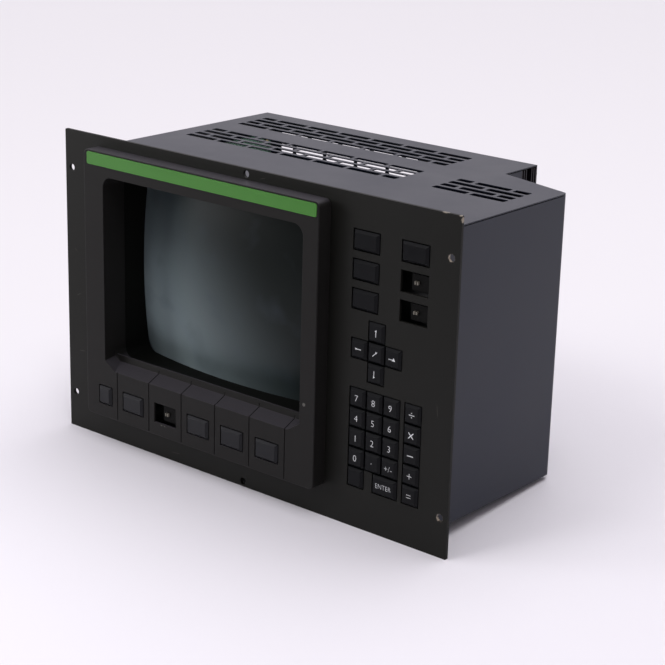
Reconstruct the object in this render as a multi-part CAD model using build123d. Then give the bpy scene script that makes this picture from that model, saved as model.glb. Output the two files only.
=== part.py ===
from build123d import *
import math
import os

# Industrial monitor panel: a rack front plate with a screen bezel, a picture tube, 36 push keys
# and a sheet-metal case. Millimetres. +X is to the right, +Y goes back into the case, +Z is up.
# The origin is the centre of the rack hole pattern, in the plate's front face.

# One overrun serves every cut
over = 2.0

# Front plate. Its width is the bezel, the key field and a margin, which add up to a 19-inch rack
# plate, and its height is seven rack units.
plate_t = 3.0
plate_left_margin = 43.1
plate_top_margin = 10.575
plate_bottom_margin = 29.675
rack_edge_x = 8.75
rack_edge_z = 37.7
mid_edge_z = 5.325
rack_hole_r = 3.5
plate_corner_r = 1.2
open_left_inset = 6.2
open_right_inset = 8.8
open_bottom_inset = 5.5
open_top_inset = 18.6
plate_open_r = 3.0

# Case behind the plate: how far it stands in from the plate's edges, and its depths from the back
case_left_inset = 23.3
case_right_inset = 22.3
case_top_inset = 17.675
case_bottom_inset = 17.1
rear_room = 25.4
side_to_back = 77.0
step_to_back = 54.0
step_w = 85.0
sheet_t = 1.0
side_bend_r = 6.0
flange_w = 7.0
cover_seam = 0.8

# Vent slots in the top cover and the rear panel
slot_l = 38.3
slot_short_l = 17.0
slot_w = 8.4
slot_gap = 4.2
slot_row_pitch = 12.6
slot_end_r = 1.5
slot_rows = 4
rear_vent_inset = 19.0
rear_vent_to_back = 64.0
front_vent_inset = 20.0
front_vent_to_back = 143.0
right_vent_inset = 102.8
vent_space = 40.0
panel_vent_inset = 21.4
panel_vent_drop = 22.6
panel_vent_space = 122.0

# Heat sink at the back of the step
sink_l = 26.0
sink_base_t = 4.0
sink_fin_t = 1.4
sink_fin_h = 8.0
sink_side_fins = 3
sink_pitch = 3.6
sink_pad_t = 4.5
sink_screw_inset = 5.0

# Screen bezel
bezel_left_w = 26.4
bezel_right_w = 17.8
bezel_top_w = 23.8
bezel_bottom_w = 57.5
bezel_h = 16.0
bezel_wall = 2.5
bezel_corner_r = 5.5
bezel_edge_r = 1.0
screen_inset = 11.6
screen_lift = 2.9
screen_corner_r = 11.0
recess_back = 12.0
sill_drop = 6.5
sill_depth = 14.0
sill_slant_w = 14.0
sill_slant_h = 9.0
sill_wall = 5.0
lip_h = 6.0
lip_depth = 3.0
groove_w = 1.2
groove_depth = 0.7

# Label strip
strip_left_inset = 4.7
strip_right_inset = 2.8
strip_top_inset = 1.9
strip_h = 12.3
strip_t = 0.8
strip_seat = 0.5
strip_gap = 0.3
strip_corner_r = 2.2

# Picture tube
tube_w = 278.0
tube_h = 212.0
tube_corner_r = 28.0
face_room = 13.0
tube_face_r = 563.0
tube_face_t = 9.0
skirt_l = 53.0
funnel_l = 82.0
neck_l = 80.0
tube_wall = 3.5
neck_r = 14.3
neck_round_share = 0.995
gun_l = 46.0
# Sections of the funnel as shares: place along its length, width and height of the tube's, and
# corner radius of the section's height
funnel_shares = [(0.27, 0.81, 0.81, 0.24), (0.57, 0.52, 0.55, 0.38), (0.85, 0.22, 0.26, 0.45)]

# Screen mask, tension band and tube posts
mask_step = 1.5
mask_inset = 1.0
mask_gap = 0.2
band_setback = 18.0
band_l = 16.0
band_t = 1.5
band_gap = 0.1
ear_w = 17.0
ear_h = 18.0
ear_t = 2.0
ear_inset = 12.0
ear_hole_r = 2.8
post_r = 5.0
stud_r = 2.5
nut_r = 4.6
nut_t = 4.0

# Deflection yoke and neck board
yoke_lead = 20.0
yoke_trail = 25.0
yoke_mouth_gap = 4.9
yoke_wall = 9.0
yoke_waist_r = 40.0
yoke_waist = 6.0
yoke_flat = 10.0
yoke_clear = 3.0
yoke_clamp_r = 21.0
yoke_clamp_l = 7.0
yoke_fit = 0.05
socket_r = 20.0
socket_l = 4.0
socket_base = 3.0
neck_board_w = 70.0
neck_board_h = 60.0
board_t = 1.6

# Deflection board by the left wall, with what stands on it
side_post_l = 10.7
side_post_r = 3.0
side_board_gap = 14.0
side_board_to_back = 9.0
side_board_low_inset = 46.075
side_board_top_inset = 19.5
board_inset = 8.0
can_r = 9.0
can_l = 26.0
can_pitch = 30.0
can_rise = 42.0
driver_setback = 22.0
driver_w = 40.0
driver_h = 34.0
driver_t = 14.0
flyback_setback = 40.0
flyback_drop = 64.0
flyback_w = 38.0
flyback_h = 46.0
flyback_t = 34.0
winding_r = 14.0
winding_l = 24.0
anode_r = 13.0
anode_t = 5.0
lead_r = 2.4
lead_rise = 22.0
lead_side = 14.0

# Power supply on the bottom panel
supply_inset = 51.0
supply_y = 100.0
supply_board_w = 76.0
supply_board_l = 128.0
supply_post_l = 6.0
core_w = 56.0
core_l = 48.0
core_h = 44.0
coil_w = 40.0
coil_l = 66.0
coil_h = 30.0
supply_can_r = 12.0
supply_can_l = 38.0

# Keys: a cell is the pitch of one key
key_pitch = 19.05
key_gap = 1.3
wide_key_gap = 2.0
key_proud = 2.0
key_skirt = 2.3
key_bevel = 2.2
key_wall = 1.2
key_roof = 1.6
key_corner_r = 0.8
key_travel = 2.0
blade_w = 1.1
blade_h = 2.4
blade_l = 5.4
plunger_w = 3.8
plunger_h = 2.8
plunger_tip = 2.2
plunger_l = 8.3
plunger_slot_w = 1.2
plunger_slot_l = 3.2
switch_w = 14.6
switch_h = 13.4
switch_clear = 0.1
switch_stop = 0.2
switch_floor = 0.6
switch_step = 1.2
switch_margin = 1.5
switch_shoulder = 3.0

# Where the keys of the plate are: margins beside them, and drops from the plate's top edge down
pad_left_margin = 36.55
pad_right_margin = 42.05
pad_bottom_margin = 48.475
pad_rows = 5
operator_shift = 23.8
function_drop = 41.075
cursor_drop = 45.46
pad_drop = 45.8
function_left_inset = 4.65
function_right_inset = 3.95
function_pitch_z = 26.67
function_w = 30.2
function_h = 19.8
cell_border = 0.2
missing_function_caps = (4, 6)
enter_cells = 1.5

# Where the softkeys of the bezel are
softkey_rise = 23.3
softkey_row_extra = 9.62
softkey_w = 29.4
softkey_h = 20.2
softkey_end_w = 19.0
softkey_count = 6
missing_softkey_cap = 3

# Boards behind the keys
softkey_board_inset = 2.0
softkey_board_end = 22.26
softkey_board_h = 34.0
keypad_board_left_w = 20.35
keypad_board_right_w = 10.25
keypad_board_edge = 24.175
board_post_r = 2.5
board_post_inset = 3.2
screw_head_r = 2.5
screw_head_t = 1.8
screw_r = 1.4
screw_clear = 0.2

# Case screws and rear connectors
case_screw_r = 2.0
case_screw_head_r = 3.8
case_screw_head_t = 2.2
case_screw_inset = 8.0
case_screw_rows = 3
socket_rise = 38.075
video_inset = 98.0
signal_inset = 158.0
power_inset = 74.0
shell_h = 10.0
shell_depth = 6.0
shell_body = 8.0
connector_flange = 7.0
connector_flange_t = 1.0
video_w = 18.0
signal_w = 40.0
power_w = 27.0
power_h = 20.0
power_wall = 2.2
power_depth = 15.0
pin_r = 0.6
pin_pitch = 2.76
power_pin_r = 1.6
power_pin_pitch = 8.0

# The window, the bezel and the plate, from the tube outwards
screen_w = tube_w - 2 * screen_inset
screen_h = tube_h - 2 * screen_inset
bezel_w = bezel_left_w + screen_w + bezel_right_w
bezel_tall = bezel_bottom_w + screen_h + bezel_top_w
operator_x_run = 2 * key_pitch + operator_shift
keys_tall = function_drop + 2 * function_pitch_z + cursor_drop + pad_drop + (pad_rows - 1) * key_pitch
plate_w = plate_left_margin + bezel_w + pad_left_margin + operator_x_run + pad_right_margin
plate_h = max(plate_bottom_margin + bezel_tall + plate_top_margin, keys_tall + pad_bottom_margin)
rack_x = plate_w - 2 * rack_edge_x
rack_z = plate_h - 2 * rack_edge_z
mid_z = plate_h - 2 * mid_edge_z
plate_back = plate_t

# Places across the front
bezel_left = plate_left_margin - plate_w / 2
bezel_right = bezel_left + bezel_w
bezel_top = plate_h / 2 - plate_top_margin
bezel_bottom = bezel_top - bezel_tall
bezel_x = (bezel_left + bezel_right) / 2
bezel_z = (bezel_bottom + bezel_top) / 2
bezel_face = -bezel_h
screen_left = bezel_left + bezel_left_w
screen_right = bezel_right - bezel_right_w
screen_top = bezel_top - bezel_top_w
sill_back_z = bezel_bottom + bezel_bottom_w
sill_front_z = sill_back_z - sill_drop
slope_end = bezel_face + sill_depth
plate_open_left = bezel_left + open_left_inset
plate_open_right = bezel_right - open_right_inset
plate_open_bottom = bezel_bottom + open_bottom_inset
plate_open_top = bezel_top - open_top_inset
strip_left = bezel_left + strip_left_inset
strip_right = bezel_right - strip_right_inset
strip_top = bezel_top - strip_top_inset
strip_bottom = strip_top - strip_h
softkey_z = bezel_bottom + softkey_rise
softkey_pitch = (screen_w + softkey_row_extra) / softkey_count
pad_x = bezel_right + pad_left_margin
operator_x = pad_x + operator_x_run
function_x = pad_x + function_left_inset
function_pitch_x = operator_x - function_right_inset - function_x
function_z = plate_h / 2 - function_drop
cursor_z = function_z - 2 * function_pitch_z - cursor_drop
pad_z = cursor_z - pad_drop

# The tube and what it carries, along its axis
tube_x = (screen_left + screen_right) / 2
tube_z = (screen_top + sill_back_z) / 2 - screen_lift
tube_face_y = recess_back + face_room
tube_skirt_y = tube_face_y + skirt_l
neck_start_y = tube_skirt_y + funnel_l
neck_end_y = neck_start_y + neck_l
band_y = tube_skirt_y - band_setback
ear_z = tube_h / 2 - ear_inset
yoke_y = neck_start_y - yoke_lead
yoke_back_y = neck_start_y + yoke_trail
yoke_waist_y = neck_start_y + yoke_waist
mask_outer_w = tube_w - 2 * mask_inset
mask_outer_h = tube_h - 2 * mask_inset

# The case and what it holds
case_left = case_left_inset - plate_w / 2
case_right = plate_w / 2 - case_right_inset
case_top = plate_h / 2 - case_top_inset
case_bottom = case_bottom_inset - plate_h / 2
case_back = neck_end_y + socket_base + board_t + rear_room + sheet_t
side_back = case_back - side_to_back
step_x = case_right - step_w
step_y = case_back - step_to_back
sink_y = case_back - sink_l
inner_top = case_top - sheet_t
inner_bottom = case_bottom + sheet_t
inner_left = case_left + sheet_t
inner_right = case_right - sheet_t
inner_back = case_back - sheet_t
wall_top = inner_top - cover_seam
rear_vent_x = case_left + rear_vent_inset
rear_vent_y = case_back - rear_vent_to_back
front_vent_x = case_left + front_vent_inset
front_vent_y = case_back - front_vent_to_back
right_vent_x = case_right - right_vent_inset
vent_run = right_vent_x - front_vent_x - vent_space - slot_short_l
vent_slots = int(vent_run / (slot_l + slot_gap))
panel_vent_x = case_left + panel_vent_inset
panel_vent_z = case_top - panel_vent_drop
panel_run = step_x - panel_vent_x - panel_vent_space - slot_short_l
panel_slots = int(panel_run / (slot_l + slot_gap))
side_board_y = band_y + side_board_gap
side_board_back = case_back - side_board_to_back
side_board_bottom = case_bottom + side_board_low_inset
side_board_top = case_top - side_board_top_inset
driver_y = side_board_y + driver_setback
can_z = side_board_bottom + can_rise
can_run = side_board_back - board_inset - driver_y - driver_w / 2
can_count = int((can_run - can_r) / can_pitch)
flyback_y = side_board_back - flyback_setback
flyback_z = side_board_top - flyback_drop
supply_x = case_right - supply_inset
socket_row_z = case_bottom + socket_rise
video_x = case_left + video_inset
signal_x = case_left + signal_inset
power_x = step_x - power_inset
softkey_board_left = plate_open_left + softkey_board_inset
softkey_board_right = tube_x + (softkey_count / 2 - 1) * softkey_pitch + softkey_board_end
keypad_board_left = pad_x - keypad_board_left_w
keypad_board_right = operator_x + keypad_board_right_w
keypad_board_h = plate_h - 2 * keypad_board_edge

# Depths behind the face that a key stands in: its switch's front, the switch's hole and the board
switch_face = key_skirt + key_travel + switch_stop
switch_hole = plunger_tip + plunger_l + key_travel + 2 * switch_stop
board_depth = switch_hole + switch_floor


def block(low, high):
    # A box between two opposite corners
    size = [b - a for a, b in zip(low, high)]
    middle = [(a + b) / 2 for a, b in zip(low, high)]
    return Pos(*middle) * Box(*size)


def rod(x, z, radius, front, back):
    # A cylinder along Y
    return Pos(x, (front + back) / 2, z) * Rot(X=90) * Cylinder(radius, back - front)


def outline(x, z, width, height, radius, y):
    # A rounded rectangle facing along Y
    return Plane((x, y, z), x_dir=(1, 0, 0), z_dir=(0, -1, 0)) * RectangleRounded(width, height, radius)


def rounded(x, z, width, height, radius, front, back):
    # A block along Y with its four long edges rounded
    return extrude(outline(x, z, width, height, radius, front), amount=back - front, dir=(0, 1, 0))


def plan_plate(points, low, high):
    # A sheet with a plan outline, between two heights
    face = make_face(Polyline(*[(x, y, low) for x, y in points], close=True))
    return extrude(face, amount=high - low, dir=(0, 0, 1))


def side_prism(points, left, right):
    # A prism along X with an outline in Y and Z
    face = make_face(Polyline(*[(left, y, z) for y, z in points], close=True))
    return extrude(face, amount=right - left, dir=(1, 0, 0))


def save(shape, node):
    export_step(shape, "parts/" + node + ".step")


def group(solids):
    return Compound(children=list(solids))


# Keys. Each has a name, a place, the size of its hole in the panel, the face that it stands in
# and whether it still has its cap.


class Key:
    def __init__(self, name, x, z, width=key_pitch, height=key_pitch, face=0, capped=True,
                 border=cell_border, gap=key_gap):
        self.name = name
        self.x = x
        self.z = z
        self.cap_w = width - gap
        self.cap_h = height - gap
        self.hole_w = width + 2 * border
        self.hole_h = height + 2 * border
        self.face = face
        self.capped = capped


def pad_cell(column, row):
    return pad_x + column * key_pitch, pad_z - row * key_pitch


def make_softkeys():
    keys = []
    for number in range(1, softkey_count + 1):
        x = tube_x + (number - softkey_count / 2 - 1) * softkey_pitch
        width = softkey_w
        if number == 1:
            # The first softkey is narrower and keeps its right edge in line
            width = softkey_end_w
            x = x + (softkey_w - softkey_end_w) / 2
        capped = number != missing_softkey_cap
        keys.append(Key("softkey_%d" % number, x, softkey_z, width, softkey_h, bezel_face, capped,
                        border=0, gap=wide_key_gap))
    return keys


def make_function_keys():
    keys = []
    for number in range(1, 7):
        x = function_x + (number - 1) % 2 * function_pitch_x
        z = function_z - (number - 1) // 2 * function_pitch_z
        capped = number not in missing_function_caps
        keys.append(Key("function_key_%d" % number, x, z, function_w, function_h, 0, capped,
                        border=0, gap=wide_key_gap))
    return keys


def make_keys():
    keys = make_softkeys() + make_function_keys()
    cursor_x = pad_cell(1, 0)[0]
    cursor_cells = [("centre", 0, 0), ("up", 0, 1), ("down", 0, -1), ("left", -1, 0), ("right", 1, 0)]
    for name, across, up in cursor_cells:
        keys.append(Key("cursor_" + name, cursor_x + across * key_pitch, cursor_z + up * key_pitch))
    pad_names = [("key_7", "key_8", "key_9"), ("key_4", "key_5", "key_6"),
                 ("key_1", "key_2", "key_3"), ("key_0", "key_point", "key_sign")]
    for row, names in enumerate(pad_names):
        for column, name in enumerate(names):
            keys.append(Key(name, *pad_cell(column, row)))
    last_row = len(pad_names)
    keys.append(Key("blank_key", *pad_cell(0, last_row)))
    enter_x, enter_z = pad_cell(2, last_row)
    enter_w = enter_cells * key_pitch
    keys.append(Key("enter_key", enter_x - (enter_w - key_pitch) / 2, enter_z, enter_w))
    operators = ["key_divide", "key_multiply", "key_minus", "key_plus", "key_equals"]
    for row, name in enumerate(operators):
        keys.append(Key(name, operator_x, pad_cell(2, row)[1]))
    return keys


def make_cap(key):
    front = key.face - key_proud
    back = key.face + key_skirt
    shoulder = front + key_bevel
    top_w = key.cap_w - 2 * key_bevel
    top_h = key.cap_h - 2 * key_bevel
    bevel = loft([outline(key.x, key.z, top_w, top_h, key_corner_r, front),
                  outline(key.x, key.z, key.cap_w, key.cap_h, key_corner_r, shoulder)], ruled=True)
    skirt = rounded(key.x, key.z, key.cap_w, key.cap_h, key_corner_r, shoulder, back)
    hollow_w = key.cap_w - 2 * key_wall
    hollow_h = key.cap_h - 2 * key_wall
    roof = front + key_roof
    hollow = rounded(key.x, key.z, hollow_w, hollow_h, key_corner_r, roof, back + over)
    blade = block((key.x - blade_w / 2, roof, key.z - blade_h / 2),
                  (key.x + blade_w / 2, roof + blade_l, key.z + blade_h / 2))
    return bevel + skirt - hollow + blade


def make_plunger(key):
    tip = key.face + plunger_tip
    plunger = block((key.x - plunger_w / 2, tip, key.z - plunger_h / 2),
                    (key.x + plunger_w / 2, tip + plunger_l, key.z + plunger_h / 2))
    slot = block((key.x - plunger_slot_w / 2, tip - over, key.z - plunger_h / 2 - over),
                 (key.x + plunger_slot_w / 2, tip + plunger_slot_l, key.z + plunger_h / 2 + over))
    return plunger - slot


def make_switch(key):
    # The front part reaches out under the cap to the right, up and down
    front = key.face + switch_face
    shoulder = front + switch_shoulder
    back = key.face + board_depth
    left = key.x - switch_w / 2 + switch_step
    right = key.x + key.cap_w / 2 - switch_margin
    reach = key.cap_h / 2 - switch_margin
    body = block((left, front, key.z - reach), (right, shoulder, key.z + reach))
    base = block((key.x - switch_w / 2, shoulder, key.z - switch_h / 2),
                 (key.x + switch_w / 2, back, key.z + switch_h / 2))
    hole_w = plunger_w / 2 + switch_clear
    hole_h = plunger_h / 2 + switch_clear
    hole = block((key.x - hole_w, front - over, key.z - hole_h),
                 (key.x + hole_w, key.face + switch_hole, key.z + hole_h))
    return body + base - hole


# Front plate


def key_hole(key, front, back):
    return block((key.x - key.hole_w / 2, front, key.z - key.hole_h / 2),
                 (key.x + key.hole_w / 2, back, key.z + key.hole_h / 2))


def make_front_plate(keys):
    plate = rounded(0, 0, plate_w, plate_h, plate_corner_r, 0, plate_back)
    for x in (-rack_x / 2, rack_x / 2):
        for z in (-rack_z / 2, rack_z / 2):
            plate -= rod(x, z, rack_hole_r, -over, plate_back + over)
    for z in (-mid_z / 2, mid_z / 2):
        plate -= rod(0, z, rack_hole_r, -over, plate_back + over)
    open_w = plate_open_right - plate_open_left
    open_h = plate_open_top - plate_open_bottom
    open_x = (plate_open_right + plate_open_left) / 2
    open_z = (plate_open_top + plate_open_bottom) / 2
    plate -= rounded(open_x, open_z, open_w, open_h, plate_open_r, -over, plate_back + over)
    for key in keys:
        if key.face == 0:
            plate -= key_hole(key, -over, plate_back + over)
    return plate


# Screen bezel and its strip


def sill_face(depth_y, corner_low, flat_z, slant_w, slant_h):
    # The lower part of the window's outline at one depth, with its two slanted corners
    points = [(screen_left, corner_low), (screen_left, flat_z + slant_h),
              (screen_left + slant_w, flat_z), (screen_right - slant_w, flat_z),
              (screen_right, flat_z + slant_h), (screen_right, corner_low)]
    return make_face(Polyline(*[(x, depth_y, z) for x, z in points], close=True))


def make_bezel(keys):
    width = bezel_right - bezel_left
    height = bezel_top - bezel_bottom
    shell = rounded(bezel_x, bezel_z, width, height, bezel_corner_r, bezel_face, 0)
    shell = fillet(shell.faces().sort_by(Axis.Y)[0].edges(), bezel_edge_r)
    inside_w = width - 2 * bezel_wall
    inside_h = height - 2 * bezel_wall
    shell -= rounded(bezel_x, bezel_z, inside_w, inside_h, bezel_corner_r - bezel_wall,
                     bezel_face + bezel_wall, over)
    # The recess behind the window, with a thicker sill below
    throat = block((screen_left - bezel_wall, bezel_face + bezel_wall, sill_back_z - sill_wall),
                   (screen_right + bezel_wall, recess_back, screen_top + bezel_wall))
    sill = block((screen_left - bezel_wall, bezel_face + bezel_wall, sill_front_z - bezel_wall),
                 (screen_right + bezel_wall, 0, sill_back_z))
    bezel = shell + throat + sill
    opening_w = screen_right - screen_left
    opening_h = screen_top - sill_back_z
    opening_x = (screen_left + screen_right) / 2
    opening_z = (screen_top + sill_back_z) / 2
    opening = rounded(opening_x, opening_z, opening_w, opening_h, screen_corner_r, bezel_face - over,
                      recess_back + over)
    corner_low = sill_back_z + sill_slant_h + sill_slant_w
    back_slant_w = sill_slant_w / 2
    back_slant_h = sill_slant_h / 2
    slope = loft([sill_face(bezel_face, corner_low, sill_front_z, sill_slant_w, sill_slant_h),
                  sill_face(slope_end, corner_low, sill_back_z, back_slant_w, back_slant_h)], ruled=True)
    mouth_face = sill_face(bezel_face - over, corner_low, sill_front_z, sill_slant_w, sill_slant_h)
    mouth = extrude(mouth_face, amount=over, dir=(0, 1, 0))
    bezel = bezel - opening - slope - mouth
    lip = side_prism([(slope_end, sill_back_z), (slope_end + lip_depth / 3, sill_back_z + lip_h),
                      (slope_end + lip_depth, sill_back_z + lip_h), (slope_end + lip_depth, sill_back_z)],
                     screen_left - bezel_wall / 2, screen_right + bezel_wall / 2)
    bezel = bezel + lip
    # Divider grooves up the face and over the sill
    for index in range(softkey_count):
        x = tube_x + (index - softkey_count // 2 + 1 / 2) * softkey_pitch
        left = x - groove_w / 2
        right = x + groove_w / 2
        bezel -= block((left, bezel_face - over, bezel_bottom + 2 * groove_depth),
                       (right, bezel_face + groove_depth, sill_front_z + over))
        if index > 0:
            bezel -= side_prism([(bezel_face - over, sill_front_z - groove_depth),
                                 (bezel_face, sill_front_z - groove_depth),
                                 (slope_end, sill_back_z - groove_depth),
                                 (slope_end + lip_depth / 3, sill_back_z + lip_h / 2),
                                 (bezel_face - over, sill_back_z + lip_h)], left, right)
    for key in keys:
        if key.face == bezel_face:
            bezel -= key_hole(key, bezel_face - over, bezel_face + bezel_wall + over)
    # Seat of the strip and bosses of the softkey board
    strip_x = (strip_left + strip_right) / 2
    strip_z = (strip_bottom + strip_top) / 2
    bezel -= rounded(strip_x, strip_z, strip_right - strip_left + 2 * strip_gap,
                     strip_top - strip_bottom + 2 * strip_gap, strip_corner_r, bezel_face - over,
                     bezel_face + strip_seat)
    for x, z in softkey_screws():
        bezel += rod(x, z, board_post_r, bezel_face + bezel_wall, bezel_face + board_depth)
    return bezel


def make_strip():
    strip_x = (strip_left + strip_right) / 2
    strip_z = (strip_bottom + strip_top) / 2
    back = bezel_face + strip_seat
    return rounded(strip_x, strip_z, strip_right - strip_left, strip_top - strip_bottom, strip_corner_r,
                   back - strip_t, back)


# Picture tube and what it carries


def funnel_steps():
    # Distance behind the skirt, width, height and corner radius of each section of the funnel
    steps = [(0, tube_w, tube_h, tube_corner_r)]
    for back, width, height, radius in funnel_shares:
        tall = height * tube_h
        steps.append((back * funnel_l, width * tube_w, tall, radius * tall))
    return steps + [(funnel_l, 2 * neck_r, 2 * neck_r, neck_r * neck_round_share)]


def funnel_reach(back):
    # How far the funnel's corners stand out from the tube's axis at a distance behind the skirt
    steps = funnel_steps()
    index = max(number for number, step in enumerate(steps[:-1]) if step[0] <= back)
    near, far = steps[index], steps[index + 1]
    part = (back - near[0]) / (far[0] - near[0])
    width, height, radius = [a + (b - a) * part for a, b in zip(near[1:], far[1:])]
    return math.hypot(width / 2 - radius, height / 2 - radius) + radius


def bulb_form(inset, face_inset):
    # The tube's outside, or with an inset its inside: face and skirt, funnel and neck
    def section(y, width, height, radius):
        return outline(tube_x, tube_z, width - 2 * inset, height - 2 * inset, radius - inset, y)

    skirt = section(tube_face_y, tube_w, tube_h, tube_corner_r)
    skirt = extrude(skirt, amount=tube_skirt_y - tube_face_y, dir=(0, 1, 0))
    ball = Pos(tube_x, tube_face_y + tube_face_r, tube_z) * Sphere(tube_face_r - face_inset)
    skirt = skirt & ball
    funnel = loft([section(tube_skirt_y + back, *sizes) for back, *sizes in funnel_steps()], ruled=True)
    neck_w = 2 * neck_r
    neck_back = neck_end_y + (over if inset else 0)
    neck = rounded(tube_x, tube_z, neck_w - 2 * inset, neck_w - 2 * inset,
                   neck_r * neck_round_share - inset, neck_start_y, neck_back)
    return skirt + funnel + neck


def make_tube():
    bulb = bulb_form(0, 0) - bulb_form(tube_wall, tube_face_t)
    inside_r = neck_r * neck_round_share - tube_wall
    gun = rod(tube_x, tube_z, inside_r - band_gap, neck_end_y - gun_l, neck_end_y - tube_wall)
    stem = rod(tube_x, tube_z, inside_r - band_gap, neck_end_y - tube_wall, neck_end_y)
    return group([bulb, gun + stem])


def make_mask():
    opening_x = (screen_left + screen_right) / 2
    opening_z = (screen_top + sill_back_z) / 2
    opening_w = screen_right - screen_left + 2 * mask_step
    opening_h = screen_top - sill_back_z + 2 * mask_step
    frame = rounded(tube_x, tube_z, mask_outer_w, mask_outer_h, tube_corner_r, recess_back,
                    tube_face_y + tube_corner_r)
    frame -= rounded(opening_x, opening_z, opening_w, opening_h, screen_corner_r, recess_back - over,
                     tube_face_y + tube_corner_r + over)
    ball = Pos(tube_x, tube_face_y + tube_face_r, tube_z) * Sphere(tube_face_r + mask_gap)
    return frame - ball


def make_band():
    inner_w = tube_w + 2 * band_gap
    inner_h = tube_h + 2 * band_gap
    inner_r = tube_corner_r + band_gap
    back = band_y + band_l
    band = rounded(tube_x, tube_z, inner_w + 2 * band_t, inner_h + 2 * band_t, inner_r + band_t,
                   band_y, back)
    for x, z in ear_places():
        side = 1 if x > tube_x else -1
        edge = tube_x + side * (inner_w / 2 - tube_corner_r)
        tip = tube_x + side * (inner_w / 2 + band_t + ear_w)
        ear = block((min(edge, tip), band_y, z - ear_h / 2),
                    (max(edge, tip), band_y + ear_t, z + ear_h / 2))
        band = band + ear - rod(x, z, ear_hole_r, band_y - over, band_y + ear_t + over)
    return band - rounded(tube_x, tube_z, inner_w, inner_h, inner_r, band_y - over, back + over)


def ear_places():
    reach = tube_w / 2 + band_gap + band_t + ear_w / 2
    return [(tube_x + side * reach, tube_z + up * ear_z) for side in (-1, 1) for up in (-1, 1)]


def make_tube_posts():
    # Four spacers on the plate, each with a stud end and a nut behind the ear
    solids = []
    for x, z in ear_places():
        post = rod(x, z, post_r, plate_back, band_y)
        post += rod(x, z, stud_r, band_y, band_y + ear_t + nut_t)
        seat = Plane((x, band_y + ear_t, z), x_dir=(1, 0, 0), z_dir=(0, -1, 0))
        nut = extrude(seat * RegularPolygon(nut_r, 6), amount=nut_t, dir=(0, 1, 0))
        nut -= rod(x, z, stud_r, band_y, band_y + ear_t + nut_t + over)
        solids += [post, nut]
    return group(solids)


def make_yoke():
    mouth_r = funnel_reach(funnel_l - yoke_lead) + yoke_mouth_gap
    rim_r = mouth_r + yoke_wall
    bore_r = neck_r + yoke_fit
    clamp_y = yoke_back_y - yoke_clamp_l
    points = [(mouth_r, yoke_y), (rim_r, yoke_y), (rim_r, yoke_y + yoke_flat),
              (yoke_waist_r, yoke_waist_y), (yoke_waist_r, clamp_y), (yoke_clamp_r, clamp_y),
              (yoke_clamp_r, yoke_back_y), (bore_r, yoke_back_y), (bore_r, yoke_waist_y),
              (neck_r + yoke_clear, neck_start_y)]
    profile = make_face(Polyline(*[(r, y, 0) for r, y in points], close=True))
    return Pos(tube_x, 0, tube_z) * revolve(profile, Axis.Y)


def make_neck_board():
    bottom = neck_end_y + socket_base
    socket = rod(tube_x, tube_z, socket_r, neck_end_y - socket_l, bottom)
    socket -= rod(tube_x, tube_z, neck_r + band_gap, neck_end_y - socket_l - over, neck_end_y)
    board = block((tube_x - neck_board_w / 2, bottom, tube_z - neck_board_h / 2),
                  (tube_x + neck_board_w / 2, bottom + board_t, tube_z + neck_board_h / 2))
    return group([socket, board])


# Deflection board, line transformer and power supply


def cross_rod(y, z, radius, left, right):
    # A cylinder along X
    return Pos((left + right) / 2, y, z) * Rot(Y=90) * Cylinder(radius, right - left)


def side_posts():
    ys = (side_board_y + board_inset, side_board_back - board_inset)
    zs = (side_board_bottom + board_inset, side_board_top - board_inset)
    return [(y, z) for y in ys for z in zs]


def make_deflection_board():
    left = inner_left + side_post_l
    right = left + board_t
    board = block((left, side_board_y, side_board_bottom), (right, side_board_back, side_board_top))
    solids = []
    for y, z in side_posts():
        board -= cross_rod(y, z, screw_r + screw_clear, left - over, right + over)
    solids.append(board)
    for index in range(can_count):
        y = side_board_back - board_inset - can_pitch * (index + 1)
        solids.append(cross_rod(y, can_z, can_r, right, right + can_l))
    solids.append(block((right, driver_y - driver_w / 2, can_z - driver_h / 2),
                        (right + driver_t, driver_y + driver_w / 2, can_z + driver_h / 2)))
    return group(solids)


def make_flyback():
    board = inner_left + side_post_l + board_t
    core = block((board, flyback_y - flyback_w / 2, flyback_z - flyback_h / 2),
                 (board + flyback_t, flyback_y + flyback_w / 2, flyback_z + flyback_h / 2))
    winding = cross_rod(flyback_y, flyback_z, winding_r, board + flyback_t, board + flyback_t + winding_l)
    # The anode cap sits flat on the left side of the funnel
    back, width = funnel_steps()[1][:2]
    run = Vector((tube_w - width) / 2, back, 0)
    seat = Vector(tube_x - (tube_w + width) / 4, tube_skirt_y + back / 2, tube_z)
    out = Vector(-run.Y, run.X, 0).normalized()
    cap = Plane(seat, z_dir=out) * Cylinder(anode_r, anode_t, align=(Align.CENTER, Align.CENTER, Align.MIN))
    start = seat + out * anode_t
    rise = start + out * lead_side
    end = Vector(board + flyback_t / 2, flyback_y, flyback_z + flyback_h / 2)
    above = end + Vector(0, 0, lead_rise)
    middle = Vector(end.X, (rise.Y + above.Y) / 2, above.Z)
    turns = [lead_side / 2, lead_rise, lead_rise / 2]
    path = FilletPolyline(start, rise, middle, above, end, radius=turns)
    lead = sweep(Plane(start, z_dir=out) * Circle(lead_r), path)
    return group([core + winding, cap, lead])


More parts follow.
